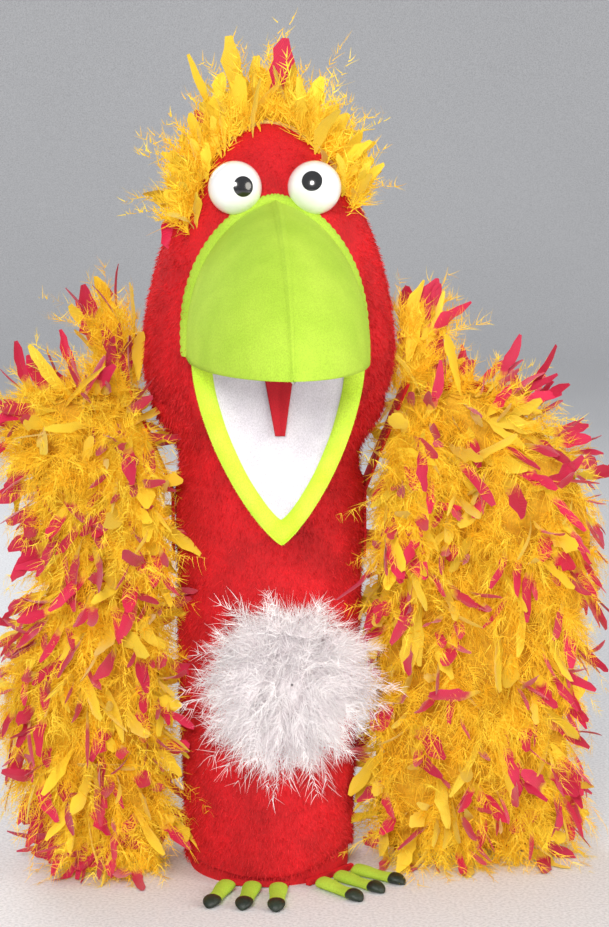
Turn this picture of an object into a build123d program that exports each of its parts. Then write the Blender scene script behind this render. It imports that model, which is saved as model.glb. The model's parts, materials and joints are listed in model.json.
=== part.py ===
from build123d import *
import math
import os

# A moving-mouth bird puppet worn over the forearm: a plush sleeve body, a foam ball neck, a foam
# head with a felt beak, a hinged lower beak, two hanging feather wings and two sewn-on felt feet.
# Millimetres. Front is -Y, up is +Z, and the origin is on the sleeve's axis at its lower edge.

# Body sleeve
BODY_R_BASE = 66.0
BODY_R_TOP = 74.0
BODY_HEIGHT = 316.0
PLUSH = 2.5
BODY_FOAM = 6.0
LINING = 1.0
HEM_HEIGHT = 22.0
COVER_LIFT = 9.0

# Belly patch
BELLY_X = 12.0
BELLY_Z = 166.0
BELLY_BACKING_R = 44.0
BELLY_HALF = (64.0, 28.0, 66.0)
FELT = 1.5

# Neck ball and the head that turns and nods on it
NECK_RISE = 14.0
PIVOT_Z = BODY_HEIGHT + NECK_RISE
NECK_FOAM = 5.0
NECK_SKIN = 2.0
NECK_FIT = 0.5
NECK_R = BODY_R_TOP - PLUSH - BODY_FOAM - LINING - NECK_SKIN - NECK_FIT
NECK_BELOW = 30.0
NECK_ABOVE = 38.0
NECK_CLEARANCE = 1.5
HEAD_R = 97.0
HEAD_RIM = 26.0
HEAD_HEIGHT = 236.0
HEAD_LEAN = 4.5
HEAD_FOAM = 14.0
HEAD_RIM_R = 72.0
HEAD_WIDEST = 64.0
HEAD_CHEEK_POWER = 2.4
HEAD_CROWN_POWERS = (1.6, 1.9)

# Mouth: both halves meet at the hinge line
MOUTH_RISE = 88.0
MOUTH_Z = PIVOT_Z + MOUTH_RISE
HINGE_REACH = 13.0
HINGE_Y = -(HEAD_R + HINGE_REACH)
HINGE_R = 2.0
HINGE_PLAY = 0.4
LIP_GAP = 0.5
BOARD = 2.0
OPEN_ANGLE = 78.0

# Upper beak
BEAK_HALF_WIDTH = 68.0
BEAK_HEIGHT = 114.0
BEAK_SHOULDER_Y = HINGE_Y + 10.0
BEAK_LENGTH = 140.0
BEAK_CROWN_Y = HINGE_Y + 25.0
BEAK_ROOT_Y = HINGE_Y + 65.0
BEAK_CURVE = 1.6
BEAK_FELT = 2.0
BEAK_FOAM = 12.0
FLANGE_WIDTH = 6.0
GLUE_GAP = 0.2
SECTION_POWER = 2.5

# Lower beak
JAW_HALF_WIDTH = 64.0
JAW_LENGTH = 135.0
JAW_DEPTH = 34.0
JAW_PLAN_POWER = 1.6
JAW_TIP_POWER = 0.8
JAW_DEPTH_POWER = 2.2
JAW_FOAM = 8.0
JAW_SIDE_GAP = 2.5
RIM_WIDTH = 15.0
RIM_TIP_WIDTH = 19.0
LINING_RECESS = 3.0
TONGUE_START = 4.0
TONGUE_LENGTH = 50.0
TONGUE_HALF_WIDTHS = (11.5, 3.0)

# Finger and thumb loops
STRAP = 1.5
FINGER_LOOP_WIDTH = 20.0
FINGER_LOOP = (30.0, 26.0)
FINGER_LOOP_Y = HINGE_Y - 40.0
THUMB_LOOP = (20.0, 13.0)
THUMB_LOOP_WIDTH = 12.0
THUMB_LOOP_START = 30.0

# Eyes
EYE_X = 29.5
EYE_Z = MOUTH_Z + 125.0
EYE_Y = HINGE_Y + 36.0
EYE_R = 20.0
EYE_WALL = 1.5
PUPIL_R = 7.5
PUPIL_THICKNESS = 0.6
# where each pupil looks: degrees towards +X and degrees up
LEFT_GAZE = (20.0, 2.0)
RIGHT_GAZE = (-8.0, 14.0)

# Crest
CREST_HALF = (104.0, 62.0, 115.0)
CREST_CENTRE = (0.0, 5.0, PIVOT_Z + 210.0)
CREST_LOWEST = PIVOT_Z + 170.0
CREST_CORD_R = 3.0

# Shoulder hinge lines, outside the head's widest, and the wings that hang from them
SHOULDER_GAP = 13.0
SHOULDER_RISE = 58.0
SHOULDER = (HEAD_R + SHOULDER_GAP, PIVOT_Z + SHOULDER_RISE)
# each level of a wing: its height as a share of the shoulder's, and how far its inner and outer
# edges stand outside the shoulder's hinge line
LEFT_WING = (
    (0.0129, -26, 50), (0.1804, -30, 80), (0.3866, -30, 98), (0.6701, -28, 66), (0.8892, -16, 90), (1.0, 2, 78))
RIGHT_WING = (
    (0.0129, -22, 116), (0.1546, -30, 140), (0.3866, -30, 135), (0.6186, -28, 152), (0.8505, -16, 130), (1.0, 2, 72))
WING_HALF_DEPTH = 36.0
WING_END_DEPTH = 24.0
WING_PANEL = 2.0
WING_PANEL_INSET = 14.0
WING_CORD_R = 2.0
TAB_WIDTH = 30.0
TAB_THICKNESS = 2.0
TAB_LENGTH = 54.0

# Feet
LEFT_FOOT_TURN = -14.0
RIGHT_FOOT_TURN = 43.0
TOE_SPACING = 20.0
TOE_SPREAD = 7.0
TOE_LENGTH = 49.0
TOE_WIDTH = 13.0
TOE_HEIGHT = 8.5
CLAW_LENGTH = 11.0
CLAW_TAPER = 0.55
KNUCKLE_WIDTH = 9.0
FOOT_PLAY = 6.0
FOOT_GAP = 0.5
FOOT_TAB_LIFT = 1.0

BIG = 900.0


def body_radius(height):
    return BODY_R_BASE + (BODY_R_TOP - BODY_R_BASE) * height / BODY_HEIGHT


def sleeve(outset, low, high):
    """A solid cone frustum that stands outset mm off the body's plush surface."""
    r_low = body_radius(low) + outset
    r_high = body_radius(high) + outset
    return Pos(0, 0, (low + high) / 2) * Cone(r_low, r_high, high - low)


def slab(low, high):
    return Pos(0, 0, (low + high) / 2) * Box(BIG, BIG, high - low)


def body_parts():
    foam_out = -PLUSH
    foam_in = foam_out - BODY_FOAM
    bore = body_radius(0) + foam_in - LINING
    above, top = HEM_HEIGHT, BODY_HEIGHT
    hem = sleeve(foam_out, 0, above) - Cylinder(bore, 4 * above)
    foam = sleeve(foam_out, above, top) - sleeve(foam_in, above, top)
    lining = sleeve(foam_in, above, top) - sleeve(foam_in - LINING, above, top)
    cover = sleeve(0, COVER_LIFT, top) - sleeve(-PLUSH, COVER_LIFT, top)
    return {"hem_band": hem, "body_foam_liner": foam, "sleeve_lining": lining, "body_cover": cover}


def belly_parts():
    patch_front = Pos(BELLY_X, -BODY_R_TOP, BELLY_Z) * Rot(X=90) * Cylinder(BELLY_BACKING_R, BODY_R_TOP)
    backing = patch_front & (sleeve(FELT, 0, BODY_HEIGHT) - sleeve(0, 0, BODY_HEIGHT))
    half_x, half_y, half_z = BELLY_HALF
    ball = scale(Sphere(1), by=(half_x, half_y, half_z))
    feathers = Pos(BELLY_X, -body_radius(BELLY_Z), BELLY_Z) * ball - sleeve(FELT + GLUE_GAP, 0, BODY_HEIGHT)
    return {"belly_backing": backing, "belly_feathers": feathers}


def neck_parts():
    def ball(radius):
        return Pos(0, 0, PIVOT_Z) * Sphere(radius)

    zone = slab(PIVOT_Z - NECK_BELOW, PIVOT_Z + NECK_ABOVE)
    foam = (ball(NECK_R) - ball(NECK_R - NECK_FOAM)) & zone
    cover = (ball(NECK_R + NECK_SKIN) - ball(NECK_R)) & zone
    return {"neck_foam_ring": foam, "neck_cover": cover}


def head_outline(inset):
    """Half the head's outline from its lower rim to its crown, drawn in by inset, on the XZ plane."""
    radius, rim_radius = HEAD_R - inset, HEAD_RIM_R - inset
    widest, crown = HEAD_RIM + HEAD_WIDEST, HEAD_RIM + HEAD_HEIGHT - inset
    fine, blunt = HEAD_CROWN_POWERS
    points = []
    for share in (1.0, 0.75, 0.5, 0.25):
        points.append((radius - (radius - rim_radius) * share**HEAD_CHEEK_POWER, 0, widest - HEAD_WIDEST * share))
    for turn in range(0, 90, 10):
        share = math.sin(math.radians(turn))
        points.append((radius * (1 - share**fine) ** (1 / blunt), 0, widest + (crown - widest) * share))
    return points + [(0, 0, crown)]


def head_solid(inset=0.0):
    """The head's egg on its leaning axis, drawn in by inset; an inner one runs on below the rim."""
    points = head_outline(inset)
    rim_x, _, rim_z = points[0]
    floor = rim_z - (HEAD_FOAM if inset > 0 else 0)
    corners = [points[-1], (0, 0, floor), (rim_x, 0, floor)]
    if inset > 0:
        corners.append(points[0])
    else:
        corners[-1] = points[0]
    egg = revolve(make_face([Spline(*points), *Polyline(*corners).edges()]), Axis.Z)
    return Pos(0, 0, PIVOT_Z) * Rot(X=HEAD_LEAN) * egg


def beak_width(y):
    forward = max(0.0, BEAK_SHOULDER_Y - y) / BEAK_LENGTH
    return BEAK_HALF_WIDTH * math.sqrt(1 - forward**2)


def beak_height(y):
    reach = BEAK_LENGTH + BEAK_CROWN_Y - BEAK_SHOULDER_Y
    forward = max(0.0, BEAK_CROWN_Y - y) / reach
    return BEAK_HEIGHT * (1 - forward**BEAK_CURVE) ** (1 / BEAK_CURVE)


def arch_face(half_width, height, y, floor):
    """A flat-bottomed superellipse arch that stands across the Y axis; a negative height hangs."""
    steps = 10
    points = []
    for step in range(steps + 1):
        turn = math.pi * step / steps
        across = math.copysign(abs(math.cos(turn)) ** (2 / SECTION_POWER), math.cos(turn))
        up = abs(math.sin(turn)) ** (2 / SECTION_POWER)
        points.append((half_width * across, y, floor + height * up))
    crown = Spline(*points)
    return make_face([crown, Line(crown @ 1, crown @ 0)])


def beak_solid(inset=0.0, floor=MOUTH_Z + LIP_GAP):
    """The upper beak with its tip, sides and top moved in by inset."""
    turns = (0, 18, 34, 48, 61, 72, 81)
    stations = [BEAK_ROOT_Y, (BEAK_ROOT_Y + BEAK_SHOULDER_Y) / 2]
    stations += [BEAK_SHOULDER_Y - BEAK_LENGTH * math.sin(math.radians(turn)) for turn in turns]
    shrink = (BEAK_LENGTH - inset) / BEAK_LENGTH
    top = MOUTH_Z + LIP_GAP
    faces = []
    for y in stations:
        height = max(beak_height(y) - inset, 2.0) + top - floor
        width = max(beak_width(y) - inset, 3.0)
        place = y if y >= BEAK_SHOULDER_Y else BEAK_SHOULDER_Y + (y - BEAK_SHOULDER_Y) * shrink
        faces.append(arch_face(width, height, place, floor))
    return loft(faces)


def mouth_clearance(radius):
    return Pos(0, HINGE_Y, MOUTH_Z) * Rot(Y=90) * Cylinder(radius, BIG)


def loop_strap(half_width, height, width, low, start):
    """A U of elastic, width mm wide, that stands on a board at low and runs along +Y from start."""
    stand = (Align.CENTER, Align.MIN, Align.MIN)
    outer = Box(2 * half_width, width, height, align=stand)
    inner = Box(2 * (half_width - STRAP), width, height - STRAP, align=stand)
    return Pos(0, start, low) * (outer - inner)


def head_parts(egg, egg_off, beak_off):
    socket = Pos(0, 0, PIVOT_Z) * Sphere(NECK_R + NECK_SKIN + NECK_CLEARANCE)
    slot_half = JAW_HALF_WIDTH + JAW_SIDE_GAP
    slot_depth = JAW_DEPTH + NECK_CLEARANCE
    slot_low = PIVOT_Z - HEAD_RIM
    slot = Pos(0, HINGE_Y + slot_depth, MOUTH_Z + LIP_GAP) * Box(
        2 * slot_half, 4 * slot_depth, MOUTH_Z - slot_low, align=(Align.CENTER, Align.MAX, Align.MAX))
    window_half = BEAK_HALF_WIDTH - BEAK_FELT - BEAK_FOAM - FLANGE_WIDTH
    window_low = MOUTH_Z + LIP_GAP + FELT + BOARD
    window_high = MOUTH_Z + BEAK_HEIGHT - BEAK_FOAM - 2 * HEAD_FOAM
    window = Pos(0, BEAK_ROOT_Y, window_low) * Box(
        2 * window_half, BIG, window_high - window_low, align=(Align.CENTER, Align.MAX, Align.MIN))
    skin = head_solid(PLUSH)
    cover = egg - skin - socket - slot - window
    foam = (skin & egg) - head_solid(PLUSH + HEAD_FOAM) - socket - slot - window
    eyes = [Pos(side * EYE_X, EYE_Y, EYE_Z) * Sphere(EYE_R + GLUE_GAP) for side in (-1, 1)]
    band = (beak_solid(-FLANGE_WIDTH) & head_solid(-FELT)) - egg_off - beak_off - eyes
    return {"head_cover": cover, "head_foam": foam, "beak_flange": band}


def beak_parts(beak, egg_off):
    low = MOUTH_Z + LIP_GAP
    inner = beak_solid(BEAK_FELT)
    hinge = mouth_clearance(HINGE_R)
    felt = beak - inner - egg_off - hinge
    ahead = Pos(0, HINGE_Y - HINGE_R, MOUTH_Z) * Box(BIG, BIG, BIG, align=(Align.CENTER, Align.MAX, Align.CENTER))
    lining = inner & slab(low, low + FELT) & ahead
    board = (inner & slab(low + FELT, low + FELT + BOARD)) - egg_off - hinge
    cavity = beak_solid(BEAK_FELT + BEAK_FOAM, floor=low)
    foam = (inner & slab(low + FELT + BOARD, BIG)) - cavity - egg_off
    left_half = Pos(-BIG / 2, 0, BIG / 2) * Box(BIG, BIG, BIG)
    finger_strap = loop_strap(*FINGER_LOOP, FINGER_LOOP_WIDTH, low + FELT + BOARD, FINGER_LOOP_Y)
    return {
        "left_beak_felt": felt & left_half,
        "right_beak_felt": felt - left_half,
        "upper_mouth_lining": lining,
        "upper_mouth_board": board,
        "beak_foam": foam,
        "finger_strap": finger_strap,
    }


def eye_parts(side, gaze, egg_off, beak_off, name):
    across, up = gaze
    place = Pos(side * EYE_X, EYE_Y, EYE_Z)
    shell = Sphere(EYE_R) - Sphere(EYE_R - EYE_WALL)
    dome = place * shell - egg_off - beak_off
    cap = (Sphere(EYE_R + PUPIL_THICKNESS) - Sphere(EYE_R)) & (
        Rot(X=90) * Cylinder(PUPIL_R, 2 * EYE_R, align=(Align.CENTER, Align.CENTER, Align.MIN)))
    pupil = place * Rot(Z=across) * Rot(X=-up) * cap - beak_off
    return {f"{name}_eye_dome": dome, f"{name}_pupil": pupil}


def crest_parts(egg_off):
    half_x, half_y, half_z = CREST_HALF
    puff = Pos(*CREST_CENTRE) * scale(Sphere(1), by=(half_x, half_y, half_z))
    above = slab(CREST_LOWEST, BIG)
    ring = head_solid(-2 * CREST_CORD_R) - egg_off
    strip = Pos(CREST_CENTRE) * Box(BIG, 2 * CREST_CORD_R, BIG)
    cord = ring & strip & above
    feathers = (puff & above) - head_solid(-2 * CREST_CORD_R - GLUE_GAP)
    return {"crest_boa_cord": cord, "crest_feathers": feathers}


def jaw_share(distance, length):
    return min(1.0, distance / length)


def jaw_plan(half_width, length):
    """The lower beak's outline seen square on, with its root on the hinge line."""
    turns = (0, 15, 30, 45, 58, 70, 80)
    right = []
    for turn in turns:
        s = length * math.sin(math.radians(turn))
        width = half_width * (1 - jaw_share(s, length) ** JAW_PLAN_POWER) ** JAW_TIP_POWER
        right.append((width, -s))
    left = [(-x, y) for x, y in reversed(right)]
    edge = Spline(*right, (0, -length), *left)
    return make_face([edge, Line(edge @ 1, edge @ 0)])


def jaw_solid(inset=0.0):
    """The lower beak while it is level: flat on top, rounded below, root on the hinge line."""
    length = JAW_LENGTH - inset
    turns = (0, 15, 30, 45, 58, 70, 79)
    faces = []
    for turn in turns:
        s = length * math.sin(math.radians(turn))
        share = jaw_share(s, length)
        width = (JAW_HALF_WIDTH - inset) * (1 - share**JAW_PLAN_POWER) ** JAW_TIP_POWER
        depth = (JAW_DEPTH - inset) * math.sqrt(1 - share**JAW_DEPTH_POWER)
        faces.append(arch_face(width, -depth, -s, 0))
    return loft(faces)


def flat_plate(face, top, thickness):
    return Pos(0, 0, top - thickness) * extrude(face, thickness)


def jaw_parts():
    shell_top = -(LINING_RECESS + FELT + BOARD)
    outer, inner = jaw_solid(), jaw_solid(BEAK_FELT)
    hollow = jaw_solid(BEAK_FELT + JAW_FOAM)
    below = slab(-BIG, shell_top)
    well = jaw_plan(JAW_HALF_WIDTH - RIM_WIDTH, JAW_LENGTH - RIM_TIP_WIDTH)
    knuckle = Rot(Y=90) * Cylinder(HINGE_R + HINGE_PLAY, BIG)
    cover = (outer - inner) & below
    foam = (inner - hollow) & below
    rim = (outer & slab(shell_top, 0)) - flat_plate(well, 0, -shell_top)
    lining = flat_plate(well, -LINING_RECESS, FELT)
    board = flat_plate(well, -LINING_RECESS - FELT, BOARD)
    wide, narrow = TONGUE_HALF_WIDTHS
    far = TONGUE_START + TONGUE_LENGTH
    tongue_face = make_face(Polyline(
        (-wide, -TONGUE_START), (wide, -TONGUE_START), (narrow, -far), (-narrow, -far), close=True))
    tongue = flat_plate(tongue_face, FELT - LINING_RECESS, FELT)
    upright = loop_strap(*THUMB_LOOP, THUMB_LOOP_WIDTH, -shell_top, THUMB_LOOP_START)
    thumb_strap = Rot(X=180) * upright
    level = {
        "jaw_cover": cover - knuckle,
        "jaw_foam": foam - knuckle,
        "jaw_rim": rim - knuckle,
        "lower_mouth_lining": lining - knuckle,
        "lower_mouth_board": board - knuckle,
        "tongue": tongue,
        "thumb_strap": thumb_strap,
    }
    hang = Pos(0, HINGE_Y, MOUTH_Z) * Rot(X=OPEN_ANGLE)
    return {name: hang * piece for name, piece in level.items()}


def wing_parts(side, name, levels):
    sections, panel_sections = [], []
    last = len(levels) - 1
    shoulder_x, shoulder_z = SHOULDER
    levels = [(share * shoulder_z, shoulder_x + near, shoulder_x + far) for share, near, far in levels]
    for index, (height, near, far) in enumerate(levels):
        depth = WING_END_DEPTH if index in (0, last) else WING_HALF_DEPTH
        centre = Pos(side * (near + far) / 2, 0, height)
        half_width = (far - near) / 2
        sections.append(centre * Ellipse(half_width, depth))
        panel_sections.append(centre * Rectangle(2 * (half_width - WING_PANEL_INSET), WING_PANEL))
    mass = loft(sections)
    gap = Box(BIG, WING_PANEL + 2 * GLUE_GAP, 3 * BIG)
    front = Pos(0, -BIG / 2, BIG / 2) * Box(BIG, BIG, 2 * BIG)
    panel = loft(panel_sections, ruled=True)
    low = levels[0][0] + WING_PANEL_INSET
    high = levels[-1][0] - WING_PANEL_INSET
    middle_near = max(near for _, near, _ in levels) + WING_PANEL_INSET
    middle_far = min(far for _, _, far in levels) - WING_PANEL_INSET
    cord_y = WING_PANEL / 2 + GLUE_GAP + WING_CORD_R
    cords = []
    for share in (0.0, 0.5, 1.0):
        x = side * (middle_near + (middle_far - middle_near) * share)
        cords.append(Pos(x, -cord_y, (low + high) / 2) * Cylinder(WING_CORD_R, high - low))
        cords.append(Pos(x, cord_y, (low + high) / 2) * Cylinder(WING_CORD_R, high - low))
    solid_mass = mass - gap - cords
    return {
        f"{name}_wing_panel": panel,
        f"{name}_wing_boa_cord": Compound([cord.solid() for cord in cords]),
        f"{name}_wing_front_feathers": solid_mass & front,
        f"{name}_wing_rear_feathers": solid_mass - front,
    }


def shoulder_tab(side):
    pivot_x, pivot_z = SHOULDER
    root = body_radius(BODY_HEIGHT) + GLUE_GAP + TAB_THICKNESS
    top = BODY_HEIGHT - HEM_HEIGHT / 2
    path = [(root, top - TAB_LENGTH), (root, top), (pivot_x, pivot_z)]
    inside = [(x - TAB_THICKNESS, z) for x, z in reversed(path)]
    outline = Polyline(*[(side * x, 0, z) for x, z in path + inside], close=True)
    return extrude(make_face(outline), TAB_WIDTH / 2, dir=(0, 1, 0), both=True)


def toe_body(length, width, height, end_scale=1.0):
    """A toe that lies on the floor along -Y: a flat oval tube, drawn in at its far end."""
    root = Rot(X=90) * SlotOverall(width, height)
    tip = Pos(0, -length, -height * (1 - end_scale) / 2) * Rot(X=90) * SlotOverall(
        width * end_scale, height * end_scale)
    return loft([root, tip])


def foot_parts(turn, name):
    front = body_radius(0) + FOOT_PLAY
    reach = TOE_LENGTH - CLAW_LENGTH
    spin = Rot(Z=turn)
    claw = toe_body(CLAW_LENGTH, TOE_WIDTH, TOE_HEIGHT, CLAW_TAPER)
    knuckle = Rot(Y=90) * Cylinder(TOE_HEIGHT / 2, KNUCKLE_WIDTH)
    toes, claws = [], []
    for place in (-1, 0, 1):
        root = spin * Pos(place * TOE_SPACING, -front, TOE_HEIGHT / 2 + GLUE_GAP)
        step = root * Rot(Z=place * TOE_SPREAD)
        toes.append((step * toe_body(reach, TOE_WIDTH, TOE_HEIGHT) + root * knuckle).solid())
        claws.append((step * Pos(0, -reach - GLUE_GAP, 0) * claw).solid())
    hem_front = body_radius(0) - PLUSH
    tab_reach = front - TOE_HEIGHT / 2 - FOOT_GAP - hem_front - GLUE_GAP
    tab = spin * Pos(0, -hem_front - GLUE_GAP, FOOT_TAB_LIFT) * Box(
        2 * TOE_SPACING + TOE_WIDTH, tab_reach, COVER_LIFT / 2, align=(Align.CENTER, Align.MAX, Align.MIN))
    return {
        f"{name}_toes": Compound(toes),
        f"{name}_claws": Compound(claws),
        f"{name}_foot_tab": tab,
    }


def puppet():
    egg = head_solid()
    egg_off = head_solid(-GLUE_GAP)
    beak = beak_solid()
    beak_off = beak_solid(-GLUE_GAP)
    hinge_length = 2 * (BEAK_HALF_WIDTH - BEAK_FELT - BEAK_FOAM / 2)
    hinge_cord = Pos(0, HINGE_Y, MOUTH_Z) * Rot(Y=90) * Cylinder(HINGE_R - GLUE_GAP, hinge_length)
    groups = [
        body_parts(),
        belly_parts(),
        neck_parts(),
        head_parts(egg, egg_off, beak_off),
        beak_parts(beak, egg_off),
        {"mouth_hinge_cord": hinge_cord},
        crest_parts(egg_off),
        jaw_parts(),
    ]
    for side, name, gaze, levels, turn in (
            (-1, "left", LEFT_GAZE, LEFT_WING, LEFT_FOOT_TURN), (1, "right", RIGHT_GAZE, RIGHT_WING, RIGHT_FOOT_TURN)):
        groups.append(eye_parts(side, gaze, egg_off, beak_off, name))
        groups.append({f"{name}_shoulder_tab": shoulder_tab(side)})
        groups.append(wing_parts(side, name, levels))
        groups.append(foot_parts(turn, name))
    parts = {}
    for group in groups:
        parts.update(group)
    return parts


os.makedirs("parts", exist_ok=True)
for node, shape in puppet().items():
    export_step(shape if isinstance(shape, (Compound, Solid)) else Compound(shape), f"parts/{node}.step")
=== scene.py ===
import json
import math
import bpy
import numpy as np
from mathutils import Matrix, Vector


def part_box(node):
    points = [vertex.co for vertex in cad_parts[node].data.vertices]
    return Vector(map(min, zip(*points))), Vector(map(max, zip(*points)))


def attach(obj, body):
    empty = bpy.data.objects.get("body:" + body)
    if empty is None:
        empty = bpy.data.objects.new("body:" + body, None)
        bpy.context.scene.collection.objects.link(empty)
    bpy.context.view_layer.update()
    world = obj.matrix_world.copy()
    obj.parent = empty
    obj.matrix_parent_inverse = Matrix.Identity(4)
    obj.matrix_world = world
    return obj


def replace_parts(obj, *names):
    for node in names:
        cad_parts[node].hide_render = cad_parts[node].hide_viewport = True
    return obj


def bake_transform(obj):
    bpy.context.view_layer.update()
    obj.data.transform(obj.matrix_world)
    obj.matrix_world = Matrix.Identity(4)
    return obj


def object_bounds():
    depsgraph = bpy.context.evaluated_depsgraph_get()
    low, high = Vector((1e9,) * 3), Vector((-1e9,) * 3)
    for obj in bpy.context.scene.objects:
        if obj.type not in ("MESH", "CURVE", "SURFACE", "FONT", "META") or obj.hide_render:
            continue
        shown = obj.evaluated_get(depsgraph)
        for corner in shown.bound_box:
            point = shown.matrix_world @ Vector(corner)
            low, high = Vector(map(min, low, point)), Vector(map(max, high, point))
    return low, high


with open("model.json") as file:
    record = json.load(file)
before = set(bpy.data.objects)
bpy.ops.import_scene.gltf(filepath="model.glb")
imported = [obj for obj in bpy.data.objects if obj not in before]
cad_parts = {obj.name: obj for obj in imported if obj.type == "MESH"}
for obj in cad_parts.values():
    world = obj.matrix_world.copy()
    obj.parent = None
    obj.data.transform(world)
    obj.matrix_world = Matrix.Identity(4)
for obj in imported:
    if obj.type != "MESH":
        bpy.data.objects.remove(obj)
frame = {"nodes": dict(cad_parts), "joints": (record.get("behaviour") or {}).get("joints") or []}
CAD_LOW, CAD_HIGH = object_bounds()
NODES = frame["nodes"]
JOINTS = {joint["name"]: joint for joint in frame["joints"]}
MM = 0.001
SEED = 41

# Places and sizes that the looks share with the frame, in metres
PIVOT = np.array(JOINTS["head_nod"]["pos_m"])
HINGE = np.array(JOINTS["jaw_close"]["pos_m"])
HEAD_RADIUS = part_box("head_cover")[1].x
BODY_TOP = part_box("body_cover")[1].z
BODY_R_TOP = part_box("body_cover")[1].x
BODY_R_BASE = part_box("hem_band")[1].x + 2.5 * MM
BEAK_LOW, BEAK_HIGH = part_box("right_beak_felt")
MOUTH_FLOOR = BEAK_LOW.z
JAW_ANGLE = math.radians(78)
JAW_LENGTH = 135 * MM
JAW_HALF_WIDTH = 64 * MM
JAW_DEPTH = 34 * MM
RIM_WIDTH = 15 * MM
RIM_TIP_WIDTH = 19 * MM
HEAD_LEAN = math.radians(4.5)
HEAD_RIM, HEAD_HEIGHT, HEAD_WIDEST = 26 * MM, 236 * MM, 64 * MM
HEAD_RIM_R = 72 * MM
BEAK_HALF_WIDTH = 68 * MM
BEAK_HEIGHT = BEAK_HIGH.z - BEAK_LOW.z
BEAK_SHOULDER_Y, BEAK_LENGTH = -100 * MM, 140 * MM
BEAK_CROWN_Y, BEAK_REACH = -85 * MM, 155 * MM

# Sizes that only the looks have
TWIST_LOW = 236 * MM  # the sleeve's plush stays with the body up to here; above it a separate piece is baked in place
# the neck's plush skin, as radius and height in millimetres
NECK_OUTLINE = ((70.5, 310), (70.5, 320), (70.0, 330), (71.0, 340), (75.5, 350), (83.0, 360), (88.5, 370),
                (91.2, 378))
PLUSH_HAIR = (5.2 * MM, 0.7 * MM)  # length and width of the plush's hairs
FELT_HAIR = (1.1 * MM, 0.22 * MM)
FELT_THICKNESS = 1.6 * MM
EYE_RADIUS = 20 * MM
WING_DOWN = (54, 14 * MM, 0.55 * MM)  # barbs on a plume, their length and their width
FEATHER_FLOOR = 1 * MM
FEATHER_PAST = (19 * MM, 15 * MM)  # how far feathers may stand past the frame's box in x and in y
FEATHER_EASE = 34 * MM  # and over how long a stretch they are drawn in
BELLY_REACH, BELLY_CORE_REACH = 46 * MM, 44 * MM
CAMERA_LENS, CAMERA_SENSOR, CAMERA_DISTANCE = 88.7, 36, 1.8
CAMERA_AIM = (0.0286, 0, 0.3243)
LIGHT_AIM = (0, 0, 0.33)


# ---------------------------------------------------------------- camera, light and floor

def make_camera():
    azimuth, elevation = math.radians(-5), math.radians(9)
    target = Vector(CAMERA_AIM)
    back = Vector((math.sin(azimuth) * math.cos(elevation), -math.cos(azimuth) * math.cos(elevation),
                   math.sin(elevation)))
    data = bpy.data.cameras.new("photo_camera")
    data.lens = CAMERA_LENS
    data.sensor_width = CAMERA_SENSOR
    camera = bpy.data.objects.new("photo_camera", data)
    camera.location = target + back * CAMERA_DISTANCE
    camera.rotation_mode = "QUATERNION"
    camera.rotation_quaternion = (-back).to_track_quat("-Z", "Y")
    bpy.context.scene.collection.objects.link(camera)
    bpy.context.scene.camera = camera


def area_light(name, place, size, power, colour):
    data = bpy.data.lights.new(name, "AREA")
    data.shape = "DISK"
    data.size = size
    data.energy = power
    data.color = colour
    light = bpy.data.objects.new(name, data)
    light.location = place
    light.rotation_mode = "QUATERNION"
    aim = Vector(LIGHT_AIM) - Vector(place)
    light.rotation_quaternion = aim.to_track_quat("-Z", "Y")
    bpy.context.scene.collection.objects.link(light)


def make_stage():
    area_light("key_light", (-0.5, -2.1, 1.25), 0.8, 40, (1.0, 0.98, 0.95))
    area_light("fill_light", (1.7, -1.1, 0.8), 1.2, 20, (1.0, 0.95, 0.86))
    area_light("back_light", (-0.8, 1.6, 1.4), 1.2, 18, (0.95, 0.97, 1.0))
    world = bpy.data.worlds.new("studio")
    world.use_nodes = True
    background = world.node_tree.nodes["Background"]
    background.inputs["Color"].default_value = (0.86, 0.88, 0.92, 1)
    background.inputs["Strength"].default_value = 0.55
    bpy.context.scene.world = world
    bpy.context.scene.view_settings.view_transform = "Standard"
    floor = grid_object("floor", backdrop_points(), floor_material())


def backdrop_points():
    """A floor that curves up into a wall behind the puppet, so no horizon shows."""
    half_width, front, bend_start, bend_radius, top = 7.0, -6.0, 3.4, 1.4, 6.0
    profile = [(front, 0.0), (-1.0, 0.0), (0.0, 0.0), (bend_start, 0.0)]
    for turn in np.linspace(0, np.pi / 2, 24)[1:]:
        profile.append((bend_start + bend_radius * math.sin(turn), bend_radius * (1 - math.cos(turn))))
    profile.append((bend_start + bend_radius, top))
    return np.array([[[-half_width, y, z], [half_width, y, z]] for y, z in profile])


# ---------------------------------------------------------------- meshes

def mesh_object(name, points, faces, material, smooth=True):
    """An object from arrays: points (N, 3) and faces (M, 3 or 4)."""
    points = np.asarray(points, np.float32).reshape(-1, 3)
    faces = np.asarray(faces, np.int32)
    mesh = bpy.data.meshes.new(name)
    mesh.vertices.add(len(points))
    mesh.vertices.foreach_set("co", points.ravel())
    mesh.loops.add(faces.size)
    mesh.loops.foreach_set("vertex_index", faces.ravel())
    mesh.polygons.add(len(faces))
    mesh.polygons.foreach_set("loop_start", np.arange(0, faces.size, faces.shape[1], dtype=np.int32))
    mesh.update(calc_edges=True)
    mesh.validate()
    mesh.polygons.foreach_set("use_smooth", np.full(len(mesh.polygons), smooth))
    mesh.materials.append(material)
    obj = bpy.data.objects.new(name, mesh)
    bpy.context.scene.collection.objects.link(obj)
    return obj


def grid_faces(rows, columns, wrap=False):
    row, column = np.meshgrid(np.arange(rows - 1), np.arange(columns if wrap else columns - 1), indexing="ij")
    after = (column + 1) % columns
    a, b = row * columns + column, row * columns + after
    return np.stack([a, b, b + columns, a + columns], -1).reshape(-1, 4)


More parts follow.
